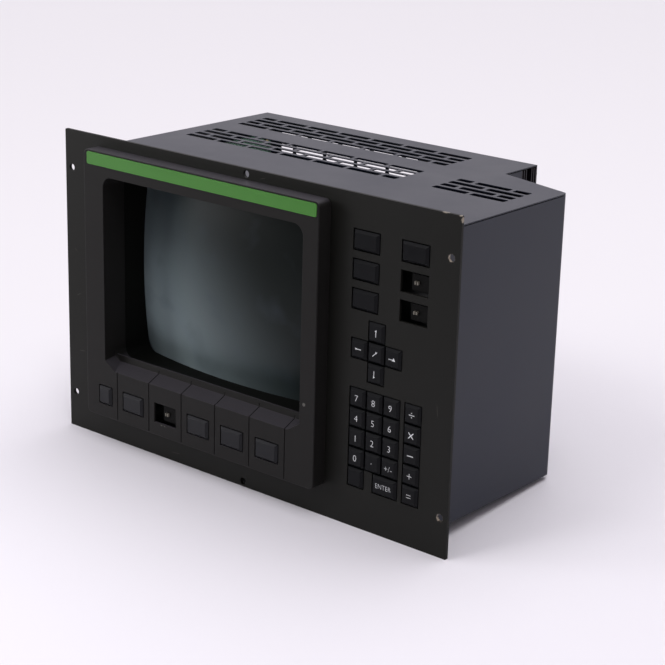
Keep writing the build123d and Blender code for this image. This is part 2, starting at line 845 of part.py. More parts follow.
def make_supply():
    low = inner_bottom + supply_post_l
    top = low + board_t
    board = block((supply_x - supply_board_w / 2, supply_y - supply_board_l / 2, low),
                  (supply_x + supply_board_w / 2, supply_y + supply_board_l / 2, top))
    core_y = supply_y - supply_board_l / 4
    core = block((supply_x - core_w / 2, core_y - core_l / 2, top),
                 (supply_x + core_w / 2, core_y + core_l / 2, top + core_h))
    middle = top + core_h / 2
    coil = block((supply_x - coil_w / 2, core_y - coil_l / 2, middle - coil_h / 2),
                 (supply_x + coil_w / 2, core_y + coil_l / 2, middle + coil_h / 2))
    can_y = supply_y + supply_board_l / 4
    cans = [Pos(supply_x + side * supply_board_w / 4, can_y, top + supply_can_l / 2)
            * Cylinder(supply_can_r, supply_can_l) for side in (-1, 1)]
    return group([board, core + coil] + cans)


# Boards behind the keys


def softkey_screws():
    xs = [softkey_board_left + board_post_inset, tube_x - softkey_pitch / 2,
          softkey_board_right - board_post_inset]
    reach = softkey_board_h / 2 - board_post_inset
    return [(x, softkey_z + up * reach) for x in xs for up in (-1, 1)]


def keypad_screws():
    xs = [keypad_board_left + board_post_inset, keypad_board_right - board_post_inset]
    reach = keypad_board_h / 2 - board_post_inset
    return [(x, up * reach) for x in xs for up in (-1, 0, 1)]


def make_board(left, right, middle, height, front, screws):
    back = front + board_t
    board = block((left, front, middle - height / 2), (right, back, middle + height / 2))
    for x, z in screws:
        board -= rod(x, z, screw_r + screw_clear, front - over, back + over)
    return board


def board_screw(x, z, front):
    screw = rod(x, z, screw_r, front, front + board_t)
    return screw + rod(x, z, screw_head_r, front + board_t, front + board_t + screw_head_t)


def make_standoffs():
    solids = []
    for x, z in keypad_screws():
        solids.append(rod(x, z, board_post_r, plate_back, board_depth))
        solids.append(board_screw(x, z, board_depth))
    for x, z in softkey_screws():
        solids.append(board_screw(x, z, bezel_face + board_depth))
    board = inner_left + side_post_l
    for y, z in side_posts():
        solids.append(cross_rod(y, z, side_post_r, inner_left, board))
        screw = cross_rod(y, z, screw_r, board, board + board_t)
        screw += cross_rod(y, z, screw_head_r, board + board_t, board + board_t + screw_head_t)
        solids.append(screw)
    for across in (-1, 1):
        for along in (-1, 1):
            x = supply_x + across * (supply_board_w / 2 - board_inset)
            y = supply_y + along * (supply_board_l / 2 - board_inset)
            post = Pos(x, y, inner_bottom + supply_post_l / 2) * Cylinder(side_post_r, supply_post_l)
            solids.append(post)
    return group(solids)


# Case


def case_outline():
    return [(case_left, plate_back), (case_right, plate_back), (case_right, side_back), (step_x, step_y),
            (step_x, case_back), (case_left, case_back)]


def vent_row(start, lengths):
    # The slots of one row as (left end, length)
    slots = []
    x = start
    for length in lengths:
        slots.append((x, length))
        x = x + length + slot_gap
    return slots


def staggered(row, count):
    # The lengths of a row's slots, with a short slot first in every second row and last in the others
    full_row = [slot_l] * count
    return [slot_short_l] + full_row if row % 2 == 1 else full_row + [slot_short_l]


def make_top_cover():
    cover = bend(plan_plate(case_outline(), inner_top, case_top), case_right, side_back, side_bend_r)
    cutters = []
    for row in range(slot_rows):
        wide = staggered(row, vent_slots)
        narrow = [slot_short_l, slot_l, slot_short_l] if row % 2 == 1 else [slot_l, slot_l]
        groups = [(rear_vent_x, rear_vent_y, wide), (front_vent_x, front_vent_y, wide),
                  (right_vent_x, front_vent_y, narrow)]
        for start_x, start_y, lengths in groups:
            y = start_y + row * slot_row_pitch
            for left, length in vent_row(start_x, lengths):
                place = Pos(left + length / 2, y, inner_top - over)
                slot = place * RectangleRounded(length, slot_w, slot_end_r)
                cutters.append(extrude(slot, amount=sheet_t + 2 * over))
    return cover - Compound(children=cutters)


def make_left_side():
    low = inner_bottom
    high = wall_top
    web = block((case_left, plate_back, low), (inner_left, case_back, high))
    front = block((inner_left, plate_back, low), (inner_left + flange_w, plate_back + sheet_t, high))
    back = block((inner_left, inner_back - sheet_t, low), (inner_left + flange_w, inner_back, high))
    return web + front + back


def bend(sheet, x, y, radius):
    # Rounds the upright edge that stands nearest to a place in plan
    uprights = sheet.edges().filter_by(Axis.Z)
    nearest = uprights.sort_by(lambda edge: math.hypot(edge.center().X - x, edge.center().Y - y))[0]
    return fillet(nearest, radius)


def make_right_side():
    # One sheet, bent at the rear corner and at the step
    slant = math.atan2(step_y - side_back, case_right - step_x)
    corner = sheet_t * math.tan(math.pi / 4 - slant / 2)
    outer = [(case_right, plate_back), (case_right, side_back), (step_x, step_y), (step_x, sink_y)]
    inner = [(step_x - sheet_t, sink_y), (step_x - sheet_t, step_y - corner),
             (inner_right, side_back - corner), (inner_right, plate_back)]
    wall = plan_plate(outer + inner, inner_bottom, wall_top)
    wall = bend(wall, inner_right, side_back - corner, side_bend_r - sheet_t)
    wall = bend(wall, case_right, side_back, side_bend_r)
    front = block((inner_right - flange_w, plate_back, inner_bottom),
                  (inner_right, plate_back + sheet_t, wall_top))
    return wall + front


def make_rear_panel():
    panel = block((inner_left, inner_back, inner_bottom), (step_x, case_back, inner_top))
    cutters = []
    for row in range(slot_rows):
        z = panel_vent_z - row * slot_row_pitch
        for left, length in vent_row(panel_vent_x, staggered(row, panel_slots)):
            cutters.append(rounded(left + length / 2, z, length, slot_w, slot_end_r, inner_back - over,
                                   case_back + over))
    for x, width, height, radius in connector_cuts():
        cutters.append(rounded(x, socket_row_z, width, height, radius, inner_back - over, case_back + over))
    for x, z in rear_screws():
        cutters.append(rod(x, z, case_screw_r + screw_clear, inner_back - over, case_back + over))
    return panel - Compound(children=cutters)


def rear_screws():
    xs = (inner_left + flange_w / 2, step_x - sink_screw_inset)
    low = inner_bottom + case_screw_inset
    pitch = (inner_top - inner_bottom - 2 * case_screw_inset) / (case_screw_rows - 1)
    return [(x, low + row * pitch) for x in xs for row in range(case_screw_rows)]


def make_bottom():
    return bend(plan_plate(case_outline(), case_bottom, inner_bottom), case_right, side_back, side_bend_r)


def make_heat_sink():
    # Base plate inside, with fins out to the face of the step at both edges and a flat pad between
    base_x = step_x - sink_fin_h - sink_base_t
    sink = block((base_x, sink_y, inner_bottom), (base_x + sink_base_t, inner_back, wall_top))
    for index in range(sink_side_fins):
        front = sink_y + index * sink_pitch
        back = inner_back - index * sink_pitch
        sink += block((base_x, front, inner_bottom), (step_x, front + sink_fin_t, wall_top))
        sink += block((base_x, back - sink_fin_t, inner_bottom), (step_x, back, wall_top))
    reach = sink_side_fins * sink_pitch
    sink += block((base_x, sink_y + reach, inner_bottom),
                  (base_x + sink_base_t + sink_pad_t, inner_back - reach, wall_top))
    return sink


def make_case_screws():
    solids = []
    for x, z in rear_screws():
        screw = rod(x, z, case_screw_r, inner_back, case_back)
        screw += rod(x, z, case_screw_head_r, case_back, case_back + case_screw_head_t)
        solids.append(screw)
    return group(solids)


# Rear connectors


def connector_cuts():
    gap = screw_clear
    return [(video_x, video_w + 2 * gap, shell_h + 2 * gap, shell_h / 4),
            (signal_x, signal_w + 2 * gap, shell_h + 2 * gap, shell_h / 4),
            (power_x, power_w + 2 * gap, power_h + 2 * gap, power_wall)]


def pin_connector(x, width, pins):
    # A D-shaped shell with two rows of pins, its flange behind the panel
    shell = rounded(x, socket_row_z, width, shell_h, shell_h / 4, inner_back, case_back + shell_depth)
    shell -= rounded(x, socket_row_z, width - sheet_t, shell_h - sheet_t, shell_h / 5, case_back,
                     case_back + shell_depth + over)
    flange = width / 2 + connector_flange
    shell += block((x - flange, inner_back - connector_flange_t, socket_row_z - shell_h / 2),
                   (x + flange, inner_back, socket_row_z + shell_h / 2))
    shell += block((x - width / 2, inner_back - shell_body, socket_row_z - shell_h / 2),
                   (x + width / 2, inner_back, socket_row_z + shell_h / 2))
    for row, count in ((1, pins), (-1, pins - 1)):
        for index in range(count):
            pin_x = x + (index - (count - 1) / 2) * pin_pitch
            shell += rod(pin_x, socket_row_z + row * pin_pitch / 2, pin_r, case_back - sheet_t / 2,
                         case_back + shell_depth - pin_r)
    return shell


def power_inlet():
    front = inner_back - power_depth
    body = rounded(power_x, socket_row_z, power_w, power_h, power_wall, front, case_back + power_wall)
    body += rounded(power_x, socket_row_z, power_w + 2 * connector_flange, power_h + 2 * power_wall,
                    power_wall, case_back, case_back + power_wall)
    body -= rounded(power_x, socket_row_z, power_w - 2 * power_wall, power_h - 2 * power_wall,
                    power_wall / 2, front + power_wall, case_back + power_wall + over)
    for index in (-1, 0, 1):
        body += rod(power_x + index * power_pin_pitch, socket_row_z, power_pin_r, front + power_wall / 2,
                    case_back - power_wall)
    return body


def make_connectors():
    return group([pin_connector(video_x, video_w, 5), pin_connector(signal_x, signal_w, 13), power_inlet()])


def main():
    os.makedirs("parts", exist_ok=True)
    keys = make_keys()
    for key in keys:
        plunger = make_plunger(key)
        save(group([make_cap(key), plunger]) if key.capped else plunger, key.name)
    save(group([make_switch(key) for key in keys]), "key_switches")
    save(make_front_plate(keys), "front_plate")
    save(make_bezel(keys), "screen_bezel")
    save(make_strip(), "label_strip")
    save(make_tube(), "picture_tube")
    save(make_mask(), "screen_mask")
    save(make_band(), "tension_band")
    save(make_tube_posts(), "tube_posts")
    save(make_yoke(), "deflection_yoke")
    save(make_neck_board(), "neck_board")
    save(make_deflection_board(), "deflection_board")
    save(make_flyback(), "line_transformer")
    save(make_supply(), "power_supply")
    save(make_board(softkey_board_left, softkey_board_right, softkey_z, softkey_board_h,
                    bezel_face + board_depth, softkey_screws()), "softkey_board")
    save(make_board(keypad_board_left, keypad_board_right, 0, keypad_board_h, board_depth,
                    keypad_screws()), "keypad_board")
    save(make_standoffs(), "board_standoffs")
    save(make_top_cover(), "top_cover")
    save(make_left_side(), "left_side_panel")
    save(make_right_side(), "right_side_panel")
    save(make_rear_panel(), "rear_panel")
    save(make_bottom(), "bottom_panel")
    save(make_heat_sink(), "heat_sink")
    save(make_case_screws(), "case_screws")
    save(make_connectors(), "rear_connectors")


main()
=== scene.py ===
import math

import bmesh
import bpy
from mathutils import Matrix, Vector


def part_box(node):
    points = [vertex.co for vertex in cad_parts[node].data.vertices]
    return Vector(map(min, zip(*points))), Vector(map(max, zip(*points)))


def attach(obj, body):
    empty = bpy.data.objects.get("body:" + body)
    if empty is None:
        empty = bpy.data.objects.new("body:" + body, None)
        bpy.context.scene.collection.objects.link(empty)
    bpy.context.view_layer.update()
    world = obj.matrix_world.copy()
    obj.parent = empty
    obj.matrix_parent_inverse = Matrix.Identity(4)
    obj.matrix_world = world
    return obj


# Industrial monitor panel: finishes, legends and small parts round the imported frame.
# Metres, in the frame's own axes: +X right, +Y into the case, +Z up.

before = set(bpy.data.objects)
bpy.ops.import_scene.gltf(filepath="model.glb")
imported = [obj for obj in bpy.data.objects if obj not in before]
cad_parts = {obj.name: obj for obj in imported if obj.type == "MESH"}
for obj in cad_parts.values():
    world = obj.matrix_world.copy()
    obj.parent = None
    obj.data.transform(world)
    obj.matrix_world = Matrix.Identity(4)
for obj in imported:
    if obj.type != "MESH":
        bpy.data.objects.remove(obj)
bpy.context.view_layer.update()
mm = 0.001
print("frame loaded:", len(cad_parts), "nodes")


# Small helpers

def linear(hexColour):
    # sRGB hex to the linear colour that a shader takes
    channels = [int(hexColour[i:i + 2], 16) / 255 for i in (1, 3, 5)]
    return [c / 12.92 if c <= 0.04045 else ((c + 0.055) / 1.055) ** 2.4 for c in channels] + [1.0]


def addNode(tree, kind, inputs=None, **settings):
    # One shader node, with its settings, its input values and its links
    node = tree.nodes.new(kind)
    for name, value in settings.items():
        setattr(node, name, value)
    for name, value in (inputs or {}).items():
        if isinstance(value, bpy.types.NodeSocket):
            tree.links.new(value, node.inputs[name])
        else:
            node.inputs[name].default_value = value
    return node


def newMaterial(name):
    material = bpy.data.materials.new(name)
    material.use_nodes = True
    material.node_tree.nodes.clear()
    return material, material.node_tree


def perMm(size):
    # Texture scale for a pattern whose features are this many millimetres
    return 1000 / size


def hexMix(tree, share, first, second):
    # A colour between two others, each an sRGB hex or a socket
    ends = [linear(colour) if isinstance(colour, str) else colour for colour in (first, second)]
    mixed = addNode(tree, "ShaderNodeMix", {"Factor": share, "A": ends[0], "B": ends[1]}, data_type="RGBA")
    return mixed.outputs["Result"]


def ramp(tree, value, start, end, low=0.0, high=1.0, **settings):
    # Runs from low to high while the value runs from start to end
    scaled = addNode(tree, "ShaderNodeMapRange",
                     {"Value": value, "From Min": start, "From Max": end, "To Min": low, "To Max": high},
                     **settings)
    return scaled.outputs["Result"]


# What the coated surfaces share: a cloudy tint, a fine grain in relief and softened edges.
# The noise hardly leaves the middle of its range, so the roughness takes its spread from there.
cloudLow = 0.3
cloudHigh = 0.7


def tintedBase(tree, look):
    place = addNode(tree, "ShaderNodeTexCoord").outputs["Object"]
    cloud = addNode(tree, "ShaderNodeTexNoise",
                    {"Vector": place, "Scale": perMm(look["cloudMm"]), "Detail": 4.0, "Roughness": 0.6})
    tint = hexMix(tree, cloud.outputs["Fac"], look["colour"], look["shade"])
    rough = ramp(tree, cloud.outputs["Fac"], cloudLow, cloudHigh,
                 look["roughness"] - look["roughnessSpread"], look["roughness"] + look["roughnessSpread"])
    return place, tint, rough


def grainNormal(tree, place, look):
    edge = addNode(tree, "ShaderNodeBevel", {"Radius": look["edgeMm"] * mm}, samples=4)
    grain = addNode(tree, "ShaderNodeTexNoise",
                    {"Vector": place, "Scale": perMm(look["grainMm"]), "Detail": 2.0, "Roughness": 0.5})
    bump = addNode(tree, "ShaderNodeBump",
                   {"Height": grain.outputs["Fac"], "Distance": look["grainDepthMm"] * mm,
                    "Strength": look["grainStrength"], "Normal": edge.outputs["Normal"]})
    return bump.outputs["Normal"]


def coated(name, look):
    # Paint, moulded plastic or plating, from one dictionary of looks
    material, tree = newMaterial(name)
    place, tint, rough = tintedBase(tree, look)
    shader = addNode(tree, "ShaderNodeBsdfPrincipled",
                     {"Base Color": tint, "Roughness": rough, "Normal": grainNormal(tree, place, look)})
    shader.inputs["Metallic"].default_value = look.get("metallic", 0.0)
    shader.inputs["Specular IOR Level"].default_value = look.get("specular", 0.5)
    addNode(tree, "ShaderNodeOutputMaterial", {"Surface": shader.outputs["BSDF"]})
    return material


# A spot's rim, in half sizes from its middle with the wobble's mean of one half added
rimInside = 1.35
rimOutside = 1.55


def spot(tree, place, wobble, middle, half, turn=0.0):
    # A ragged oval mask round a place: 1 inside, 0 outside. Sizes in millimetres, turned about Y.
    offset = addNode(tree, "ShaderNodeVectorMath", {0: place, 1: [v * mm for v in middle]},
                     operation="SUBTRACT")
    turned = addNode(tree, "ShaderNodeVectorRotate",
                     {"Vector": offset.outputs["Vector"], "Angle": turn}, rotation_type="Y_AXIS")
    shaped = addNode(tree, "ShaderNodeVectorMath",
                     {0: turned.outputs["Vector"], 1: [v * mm for v in half]}, operation="DIVIDE")
    reach = addNode(tree, "ShaderNodeVectorMath", {0: shaped.outputs["Vector"]}, operation="LENGTH")
    ragged = addNode(tree, "ShaderNodeMath", {0: reach.outputs["Value"], 1: wobble}, operation="ADD")
    return ramp(tree, ragged.outputs["Value"], rimInside, rimOutside, 1.0, 0.0)


def spots(tree, place, places, wobbleMm):
    wobble = addNode(tree, "ShaderNodeTexNoise",
                     {"Vector": place, "Scale": perMm(wobbleMm), "Detail": 3.0, "Roughness": 0.6})
    total = None
    for entry in places:
        mask = spot(tree, place, wobble.outputs["Fac"], *entry)
        if total is None:
            total = mask
        else:
            total = addNode(tree, "ShaderNodeMath", {0: total, 1: mask},
                            operation="MAXIMUM").outputs["Value"]
    return total


# Front plate: sheet aluminium with a structured stove enamel. The enamel hides the metal in a dull
# olive black with a fine pebble, and where it is knocked off the pale metal shows.

plateLook = {
    "colour": "#141411", "shade": "#181815", "cloudMm": 60, "roughness": 0.5, "roughnessSpread": 0.05,
    "edgeMm": 0.5, "grainMm": 0.9, "grainDepthMm": 0.05, "grainStrength": 0.25, "specular": 0.16,
    "metal": "#8a8275", "metalRoughness": 0.35, "scuff": "#4a4743", "scuffShare": 0.6,
    "chipWobbleMm": 1.2, "rubWobbleMm": 1.5,
    # Chips of bare metal: middle, half size and turn
    "chips": [((224.0, 1.5, 155.2), (3.8, 2.0, 1.3)), ((241.2, 1.5, 151.6), (1.2, 2.0, 2.6)),
              ((239.6, 1.0, 155.0), (1.4, 2.0, 0.7)), ((-241.4, 1.0, -60.0), (0.5, 1.2, 1.6)),
              ((232.55, 1.5, 117.475), (4.3, 2.5, 4.3)), ((232.55, 1.5, -117.475), (4.3, 2.5, 4.3))],
    # Light scratches and rubs that stay in the paint
    "rubs": [((-226.0, 0.0, -12.0), (3.4, 1.0, 0.3), 0.5), ((-229.0, 0.0, 34.0), (2.4, 1.0, 0.25), -0.6),
             ((-222.0, 0.0, -71.0), (4.0, 1.0, 0.3), 0.1), ((20.0, 0.0, 149.0), (4.0, 1.0, 0.3), 0.3),
             ((-90.0, 0.0, -146.0), (7.0, 1.0, 0.25), 0.1), ((225.0, 0.0, -20.0), (0.3, 1.0, 6.0), 0.1)]}


def structuredEnamel():
    look = plateLook
    material, tree = newMaterial("structuredStoveEnamel")
    place, tint, rough = tintedBase(tree, look)
    normal = grainNormal(tree, place, look)
    rubbed = spots(tree, place, look["rubs"], look["rubWobbleMm"])
    scuffed = addNode(tree, "ShaderNodeMath", {0: rubbed, 1: look["scuffShare"]}, operation="MULTIPLY")
    tone = hexMix(tree, scuffed.outputs["Value"], tint, look["scuff"])
    paint = addNode(tree, "ShaderNodeBsdfPrincipled",
                    {"Base Color": tone, "Roughness": rough, "Normal": normal,
                     "Specular IOR Level": look["specular"]})
    metal = addNode(tree, "ShaderNodeBsdfPrincipled",
                    {"Base Color": linear(look["metal"]), "Roughness": look["metalRoughness"],
                     "Metallic": 1.0, "Normal": normal})
    chipped = spots(tree, place, look["chips"], look["chipWobbleMm"])
    surface = addNode(tree, "ShaderNodeMixShader", {0: chipped, 1: paint.outputs["BSDF"],
                                                    2: metal.outputs["BSDF"]})
    addNode(tree, "ShaderNodeOutputMaterial", {"Surface": surface.outputs["Shader"]})
    return material


# Bezel: injection-moulded ABS with a spark-eroded grain, nearly the plate's black. The faces that look
# upwards are painted lighter: painted light from above.
bezelLook = {
    "colour": "#1b1a19", "shade": "#1f1e1d", "cloudMm": 45, "roughness": 0.45, "roughnessSpread": 0.05,
    "edgeMm": 0.7, "grainMm": 0.7, "grainDepthMm": 0.04, "grainStrength": 0.2, "specular": 0.12,
    # Painted light: lighter from this height of the surface's normal and full at that one
    "paintedLight": "#373539", "paintedLightFrom": 0.5, "paintedLightFull": 0.92,
    "chip": "#605e5a", "chipWobbleMm": 0.9,
    "chips": [((88.0, -16.0, -45.3), (1.8, 1.0, 1.8)), ((-93.5, -16.0, -113.6), (0.9, 1.2, 0.7)),
              ((-89.0, -16.0, -113.7), (0.7, 1.2, 0.6))]}


def grainedAbs():
    look = bezelLook
    material, tree = newMaterial("grainedAbs")
    place, tint, rough = tintedBase(tree, look)
    worn = spots(tree, place, look["chips"], look["chipWobbleMm"])
    tone = hexMix(tree, worn, tint, look["chip"])
    # Painted light: the faces that look upwards turn lighter
    facing = addNode(tree, "ShaderNodeNewGeometry").outputs["Normal"]
    upward = addNode(tree, "ShaderNodeSeparateXYZ", {"Vector": facing}).outputs["Z"]
    upLitShare = ramp(tree, upward, look["paintedLightFrom"], look["paintedLightFull"])
    upLit = hexMix(tree, upLitShare, tone, look["paintedLight"])
    shader = addNode(tree, "ShaderNodeBsdfPrincipled",
                     {"Base Color": upLit, "Roughness": rough,
                      "Specular IOR Level": look["specular"], "Normal": grainNormal(tree, place, look)})
    addNode(tree, "ShaderNodeOutputMaterial", {"Surface": shader.outputs["BSDF"]})
    return material


# Picture tube: grey faceplate glass over a pale phosphor that stops short of the glass's edge, and a
# funnel painted with graphite. The face is painted lighter at the left and below, a painted reflection of
# the pale room, and painted shade darkens it towards the upper right, so the eye sees a cool grey sheet.
tubeLook = {
    "phosphor": "#0c1412", "reflectionColour": "#91a0a4", "border": "#4c5860", "graphite": "#16151a",
    # The way in which the painted reflection brightens, and where it starts and is full, from the glass's
    # middle
    "reflectionAcross": (-0.77, 0.0, -0.64), "reflectionFromMm": -60.0, "reflectionFullMm": 120.0, "reflectionPower": 2.0,
    "widthMm": 262.0, "heightMm": 198.0, "cornerMm": 24.0, "softMm": 3.5, "skirtMm": 60.0,
    "roughness": 0.38, "specular": 0.15, "ior": 1.54, "graphiteRoughness": 0.6,
    # Smears: their size and colour, where the noise starts to show them, is full, and their share
    "smearMm": 38.0, "smear": "#39424a", "smearFrom": 0.55, "smearFull": 0.75, "smearShare": 0.3}


def coatedGlass():
    look = tubeLook
    material, tree = newMaterial("faceplateGlassOverPhosphor")
    low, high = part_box("picture_tube")
    middle = (low + high) / 2
    place = addNode(tree, "ShaderNodeTexCoord").outputs["Object"]
    offset = addNode(tree, "ShaderNodeVectorMath", {0: place, 1: [middle.x, 0, middle.z]},
                     operation="SUBTRACT")
    positive = addNode(tree, "ShaderNodeVectorMath", {0: offset.outputs["Vector"]}, operation="ABSOLUTE")
    core = [(look["widthMm"] / 2 - look["cornerMm"]) * mm, 10.0,
            (look["heightMm"] / 2 - look["cornerMm"]) * mm]
    beyond = addNode(tree, "ShaderNodeVectorMath", {0: positive.outputs["Vector"], 1: core},
                     operation="SUBTRACT")
    kept = addNode(tree, "ShaderNodeVectorMath", {0: beyond.outputs["Vector"], 1: [0, 0, 0]},
                   operation="MAXIMUM")
    reach = addNode(tree, "ShaderNodeVectorMath", {0: kept.outputs["Vector"]}, operation="LENGTH")
    lit = ramp(tree, reach.outputs["Value"], (look["cornerMm"] - look["softMm"]) * mm,
               look["cornerMm"] * mm, 1.0, 0.0, interpolation_type="SMOOTHSTEP")
    parts = addNode(tree, "ShaderNodeSeparateXYZ", {"Vector": place})
    # Painted reflection and painted shade: lighter towards the left and below, darker towards the upper
    # right
    across = addNode(tree, "ShaderNodeVectorMath", {0: offset.outputs["Vector"], 1: look["reflectionAcross"]},
                     operation="DOT_PRODUCT")
    paintedLight = ramp(tree, across.outputs["Value"], look["reflectionFromMm"] * mm, look["reflectionFullMm"] * mm)
    reflectionShare = addNode(tree, "ShaderNodeMath", {0: paintedLight, 1: look["reflectionPower"]}, operation="POWER")
    phosphorAndReflection = hexMix(tree, reflectionShare.outputs["Value"], look["phosphor"], look["reflectionColour"])
    haze = addNode(tree, "ShaderNodeTexNoise",
                   {"Vector": place, "Scale": perMm(look["smearMm"]), "Detail": 2.0, "Roughness": 0.5})
    smear = ramp(tree, haze.outputs["Fac"], look["smearFrom"], look["smearFull"], 0.0, look["smearShare"])
    dulled = hexMix(tree, smear, phosphorAndReflection, look["smear"])
    face = hexMix(tree, lit, look["border"], dulled)
    glass = addNode(tree, "ShaderNodeBsdfPrincipled",
                    {"Base Color": face, "Roughness": look["roughness"], "IOR": look["ior"],
                     "Specular IOR Level": look["specular"]})
    graphite = addNode(tree, "ShaderNodeBsdfPrincipled",
                       {"Base Color": linear(look["graphite"]), "Roughness": look["graphiteRoughness"]})
    behind = addNode(tree, "ShaderNodeMath", {0: parts.outputs["Y"], 1: look["skirtMm"] * mm},
                     operation="GREATER_THAN")
    surface = addNode(tree, "ShaderNodeMixShader", {0: behind.outputs["Value"], 1: glass.outputs["BSDF"],
                                                    2: graphite.outputs["BSDF"]})
    addNode(tree, "ShaderNodeOutputMaterial", {"Surface": surface.outputs["Shader"]})
    return material


# Case: sheet steel in a smooth blue-grey enamel with a soft sheen.
caseLook = {
    "colour": "#0e1423", "shade": "#121828", "cloudMm": 90, "roughness": 0.34, "roughnessSpread": 0.03,
    "edgeMm": 0.5, "grainMm": 1.6, "grainDepthMm": 0.03, "grainStrength": 0.12, "specular": 0.31}

# Label strip: polycarbonate film, printed green on the back, with a satin face.
stripLook = {
    "colour": "#3d7a28", "shade": "#43822d", "cloudMm": 70, "roughness": 0.38, "roughnessSpread": 0.03,
    "edgeMm": 0.2, "grainMm": 0.6, "grainDepthMm": 0.01, "grainStrength": 0.1, "specular": 0.4}

# Keycaps: two-shot ABS, blue-black, polished by fingers.
capLook = {
    "colour": "#0e0f13", "shade": "#121317", "cloudMm": 8, "roughness": 0.36, "roughnessSpread": 0.08,
    "edgeMm": 0.5, "grainMm": 0.5, "grainDepthMm": 0.02, "grainStrength": 0.15, "specular": 0.22}

# The plate's own keys are darker and duller than the softkeys.
padLook = {
    "colour": "#08090b", "shade": "#0c0d10", "cloudMm": 8, "roughness": 0.4, "roughnessSpread": 0.08,
    "edgeMm": 0.5, "grainMm": 0.5, "grainDepthMm": 0.02, "grainStrength": 0.15, "specular": 0.12}

# Bare plungers: unfilled acetal, ivory.
plungerLook = {
    "colour": "#7b776d", "shade": "#6b675e", "cloudMm": 3, "roughness": 0.4, "roughnessSpread": 0.05,
    "edgeMm": 0.2, "grainMm": 0.4, "grainDepthMm": 0.01, "grainStrength": 0.1, "specular": 0.4}

# Switch bodies: glass-filled polyester, near black and dull.
switchLook = {
    "colour": "#080807", "shade": "#0b0b0a", "cloudMm": 4, "roughness": 0.5, "roughnessSpread": 0.05,
    "edgeMm": 0.25, "grainMm": 0.4, "grainDepthMm": 0.01, "grainStrength": 0.1, "specular": 0.08}

# Screen mask: moulded nitrile rubber, dull olive black.
maskLook = {
    "colour": "#060705", "shade": "#090a08", "cloudMm": 30, "roughness": 0.7, "roughnessSpread": 0.06,
    "edgeMm": 0.5, "grainMm": 0.8, "grainDepthMm": 0.03, "grainStrength": 0.2, "specular": 0.1}

# Band, posts, screws and connector shells: zinc-plated steel, bright with a faint yellow passivation.
zincLook = {
    "colour": "#b6b4aa", "shade": "#a39f8f", "cloudMm": 9, "roughness": 0.32, "roughnessSpread": 0.08,
    "edgeMm": 0.2, "grainMm": 0.6, "grainDepthMm": 0.01, "grainStrength": 0.15, "metallic": 1.0}

# The mains inlet beside the connectors is black moulding compound, from this X onwards.
inletFromMm = 30.0

# Standoffs: nickel-plated brass.
brassLook = {
    "colour": "#c2b48f", "shade": "#b09d6d", "cloudMm": 6, "roughness": 0.3, "roughnessSpread": 0.06,
    "edgeMm": 0.2, "grainMm": 0.5, "grainDepthMm": 0.01, "grainStrength": 0.1, "metallic": 1.0}

# Heat sink: extruded aluminium, black anodised, with a dark purple cast where it has aged.
sinkLook = {
    "colour": "#0d0a0f", "shade": "#140f16", "cloudMm": 25, "roughness": 0.5, "roughnessSpread": 0.06,
    "edgeMm": 0.3, "grainMm": 0.8, "grainDepthMm": 0.02, "grainStrength": 0.2, "specular": 0.3}

# Line transformer and mains socket: black moulding compound.
mouldingLook = {
    "colour": "#131315", "shade": "#1a1a1c", "cloudMm": 12, "roughness": 0.4, "roughnessSpread": 0.06,
    "edgeMm": 0.5, "grainMm": 0.6, "grainDepthMm": 0.02, "grainStrength": 0.15, "specular": 0.45}

# Legends: white ink let into the caps.
inkLook = {
    "colour": "#e4e6e8", "shade": "#d4d6d8", "cloudMm": 2, "roughness": 0.5, "roughnessSpread": 0.05,
    "edgeMm": 0.02, "grainMm": 0.3, "grainDepthMm": 0.002, "grainStrength": 0.1, "specular": 0.3}


# Circuit boards: glass-epoxy laminate under green solder mask, with paler tracks in relief and
# parts standing on it. Sleeved parts start beyond the board's thickness. A track is the rim of a
# cell, up to a share of the cell's size.
boardLook = {
    "mask": "#4d8066", "track": "#78a68b", "sleeve": "#1d2b4f", "trackMm": 3.2, "roughness": 0.32,
    "trackShare": 0.08, "trackEdgeShare": 0.12, "copperDepthMm": 0.05, "copperStrength": 0.4}

# The boards behind the keys are painted near black, painted shade so that an open well stays dark
shadeBlackBoardLook = {**boardLook, "mask": "#0b0e0d", "track": "#121614", "sleeve": "#0b0e0d",
                "roughness": 0.4}


def solderMask(name, look, axis, start):
    material, tree = newMaterial(name)
    place = addNode(tree, "ShaderNodeTexCoord").outputs["Object"]
    cells = addNode(tree, "ShaderNodeTexVoronoi",
                    {"Vector": place, "Scale": perMm(look["trackMm"]), "Randomness": 0.7},
                    feature="DISTANCE_TO_EDGE", distance="CHEBYCHEV")
    track = ramp(tree, cells.outputs["Distance"], look["trackShare"], look["trackEdgeShare"], 1.0, 0.0)
    green = hexMix(tree, track, look["mask"], look["track"])
    parts = addNode(tree, "ShaderNodeSeparateXYZ", {"Vector": place})
    standing = addNode(tree, "ShaderNodeMath", {0: parts.outputs[axis], 1: start},
                       operation="GREATER_THAN")
    colour = hexMix(tree, standing.outputs["Value"], green, look["sleeve"])
    bump = addNode(tree, "ShaderNodeBump", {"Height": track, "Distance": look["copperDepthMm"] * mm,
                                            "Strength": look["copperStrength"]})
    shader = addNode(tree, "ShaderNodeBsdfPrincipled",
                     {"Base Color": colour, "Roughness": look["roughness"],
                      "Normal": bump.outputs["Normal"]})
    addNode(tree, "ShaderNodeOutputMaterial", {"Surface": shader.outputs["BSDF"]})
    return material


